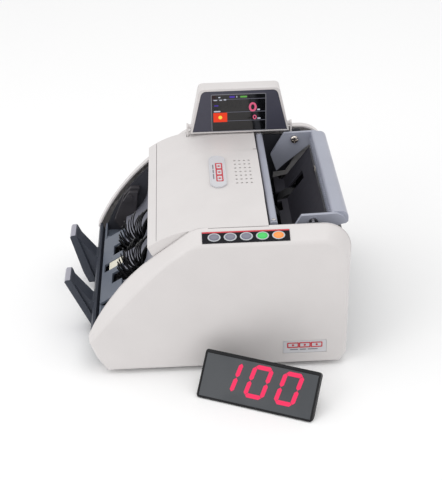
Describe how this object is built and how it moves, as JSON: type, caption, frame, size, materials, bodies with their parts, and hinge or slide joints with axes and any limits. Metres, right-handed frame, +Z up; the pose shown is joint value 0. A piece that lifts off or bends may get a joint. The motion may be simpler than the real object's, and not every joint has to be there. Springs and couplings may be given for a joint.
{
  "type": "banknote counter",
  "caption": "Table-top banknote counter with a rear hopper, a front stacker with paddle wheels, a fold-down display, a button strip and a separate lit readout.",
  "frame": {"origin": "on the table plane under the middle of the machine body, between the four feet", "axes": "+Z up; -Y is the front with the stacker, +Y the rear with the hopper; +X the operator's right side with the button strip"},
  "size_m": [0.3502, 0.2878, 0.209],
  "materials": {
    "shell_white": "fine satin moulded shell, warm off-white",
    "dark_shell": "black textured moulding",
    "steel_dark": "dark grey coated sheet steel",
    "steel": "ground and brushed steel",
    "motor_steel": "zinc plated cans",
    "stacker_grey": "satin grey moulding",
    "floor_slate": "blue-grey moulding polished by notes",
    "guide_grey": "mid grey moulding",
    "rail_grey": "satin silver-grey moulding",
    "hopper_dark": "dark slate moulding",
    "black_plastic": "black nylon and moulding",
    "impeller_rubber": "soft black rubber fingers",
    "roller_rubber": "matt black rubber",
    "belt_rubber": "toothed belt rubber",
    "board_green": "solder mask green",
    "sensor_cream": "cream lens cover",
    "badge_silver": "satin silver label with a plain red mark",
    "strip_black": "glossy black overlay with a red line",
    "key_grey": "translucent grey key",
    "key_green": "translucent green key",
    "key_orange": "translucent orange key",
    "rocker_black": "black rocker",
    "panel_slate": "dark slate display bezel",
    "screen_glass": "lit colour screen",
    "remote_grey": "dark grey case",
    "remote_glass": "smoked window",
    "led_red": "lit red segments"
  },
  "bodies": {
    "machine": {"base_chassis": "steel_dark", "rubber_feet": "roller_rubber", "side_frames": "steel_dark", "side_panel_right": "shell_white", "side_panel_left": "shell_white", "top_cover": "shell_white", "rear_cover": "dark_shell", "top_badge": "badge_silver", "side_badge": "badge_silver", "stacker_plate": "stacker_grey", "stacker_floor": "floor_slate", "stacker_guide": "guide_grey", "stacker_wall_brackets": "guide_grey", "stacker_sensor_strip": "sensor_cream", "shaft_bearings": "steel", "stacker_motor": "motor_steel", "stacker_belt": "belt_rubber", "hopper_front_rail": "rail_grey", "hopper_floor": "hopper_dark", "hopper_side_guides": "steel", "tray_pivot_screws": "steel", "friction_block": "steel_dark", "pickup_belt": "belt_rubber", "main_motor": "motor_steel", "main_belt": "belt_rubber", "note_path_plate": "steel_dark", "sensor_bar": "black_plastic", "main_board": "board_green", "power_supply": "motor_steel", "power_inlet": "black_plastic", "switch_body": "black_plastic", "readout_socket": "black_plastic", "speaker": "black_plastic", "button_strip": "strip_black", "button_board": "board_green", "display_hinges": "shell_white"},
    "impeller": {"impeller_shaft": "steel", "impeller_wheels": "impeller_rubber"},
    "feed": {"feed_shaft": "steel", "feed_rollers": "roller_rubber"},
    "pickup": {"pickup_shaft": "steel", "pickup_rollers": "roller_rubber"},
    "exit": {"exit_shaft": "steel", "exit_rollers": "roller_rubber"},
    "pinch": {"pinch_rollers": "black_plastic"},
    "main_rotor": {"main_motor_pulley": "black_plastic"},
    "stacker_rotor": {"stacker_motor_pulley": "black_plastic"},
    "tray": {"hopper_tray": "rail_grey"},
    "display": {"display_housing": "shell_white", "display_panel": "panel_slate", "screen": "screen_glass"},
    "rocker": {"power_rocker": "rocker_black"},
    "remote": {"remote_case": "remote_grey", "remote_window": "remote_glass", "remote_digits": "led_red"},
    "key_1": {"button_1": "key_grey"},
    "key_2": {"button_2": "key_grey"},
    "key_3": {"button_3": "key_grey"},
    "key_4": {"button_4": "key_green"},
    "key_5": {"button_5": "key_orange"}
  },
  "joints": [
    {"name": "impeller_spin", "type": "hinge", "parent": "machine", "child": "impeller", "pos_m": [0, -0.07, 0.061], "axis": [1, 0, 0], "continuous": true},
    {"name": "stacker_motor_spin", "type": "hinge", "parent": "machine", "child": "stacker_rotor", "pos_m": [0, -0.03, 0.03], "axis": [1, 0, 0], "continuous": true},
    {"name": "feed_spin", "type": "hinge", "parent": "machine", "child": "feed", "pos_m": [0, 0.05, 0.08], "axis": [1, 0, 0], "continuous": true},
    {"name": "pickup_spin", "type": "hinge", "parent": "machine", "child": "pickup", "pos_m": [0, 0.082, 0.09], "axis": [1, 0, 0], "continuous": true},
    {"name": "exit_spin", "type": "hinge", "parent": "machine", "child": "exit", "pos_m": [0, -0.008, 0.088], "axis": [1, 0, 0], "continuous": true},
    {"name": "pinch_spin", "type": "hinge", "parent": "machine", "child": "pinch", "pos_m": [0, -0.008, 0.1107], "axis": [1, 0, 0], "continuous": true},
    {"name": "main_motor_spin", "type": "hinge", "parent": "machine", "child": "main_rotor", "pos_m": [0, 0.04, 0.032], "axis": [1, 0, 0], "continuous": true},
    {"name": "tray_lift", "type": "hinge", "parent": "machine", "child": "tray", "pos_m": [0, 0.089, 0.1485], "axis": [1, 0, 0], "range_deg": [0, 45]},
    {"name": "display_tilt", "type": "hinge", "parent": "machine", "child": "display", "pos_m": [-0.104, 0.029, 0.163], "axis": [0, 1, 0], "range_deg": [-12, 88]},
    {"name": "power_switch", "type": "hinge", "parent": "machine", "child": "rocker", "pos_m": [-0.036, 0.1193, 0.03], "axis": [0, 0, 1], "range_deg": [-16, 0]},
    {"name": "remote_lift", "type": "slide", "parent": "machine", "child": "remote", "axis": [0, 0, 1], "range_m": [0, 0.15]},
    {"name": "key_1_press", "type": "slide", "parent": "machine", "child": "key_1", "axis": [-0.4856, 0, -0.8742], "range_m": [0, 0.0008], "stiffness_N_per_m": 700, "springref_m": -0.0004},
    {"name": "key_2_press", "type": "slide", "parent": "machine", "child": "key_2", "axis": [-0.4856, 0, -0.8742], "range_m": [0, 0.0008], "stiffness_N_per_m": 700, "springref_m": -0.0004},
    {"name": "key_3_press", "type": "slide", "parent": "machine", "child": "key_3", "axis": [-0.4856, 0, -0.8742], "range_m": [0, 0.0008], "stiffness_N_per_m": 700, "springref_m": -0.0004},
    {"name": "key_4_press", "type": "slide", "parent": "machine", "child": "key_4", "axis": [-0.4856, 0, -0.8742], "range_m": [0, 0.0008], "stiffness_N_per_m": 700, "springref_m": -0.0004},
    {"name": "key_5_press", "type": "slide", "parent": "machine", "child": "key_5", "axis": [-0.4856, 0, -0.8742], "range_m": [0, 0.0008], "stiffness_N_per_m": 700, "springref_m": -0.0004}
  ],
  "couplings": [
    {"joint": "stacker_motor_spin", "follows": "impeller_spin", "ratio": 2},
    {"joint": "pickup_spin", "follows": "feed_spin", "ratio": 1},
    {"joint": "exit_spin", "follows": "feed_spin", "ratio": 1.5556},
    {"joint": "pinch_spin", "follows": "feed_spin", "ratio": -1.7949},
    {"joint": "main_motor_spin", "follows": "feed_spin", "ratio": 1.5556}
  ]
}
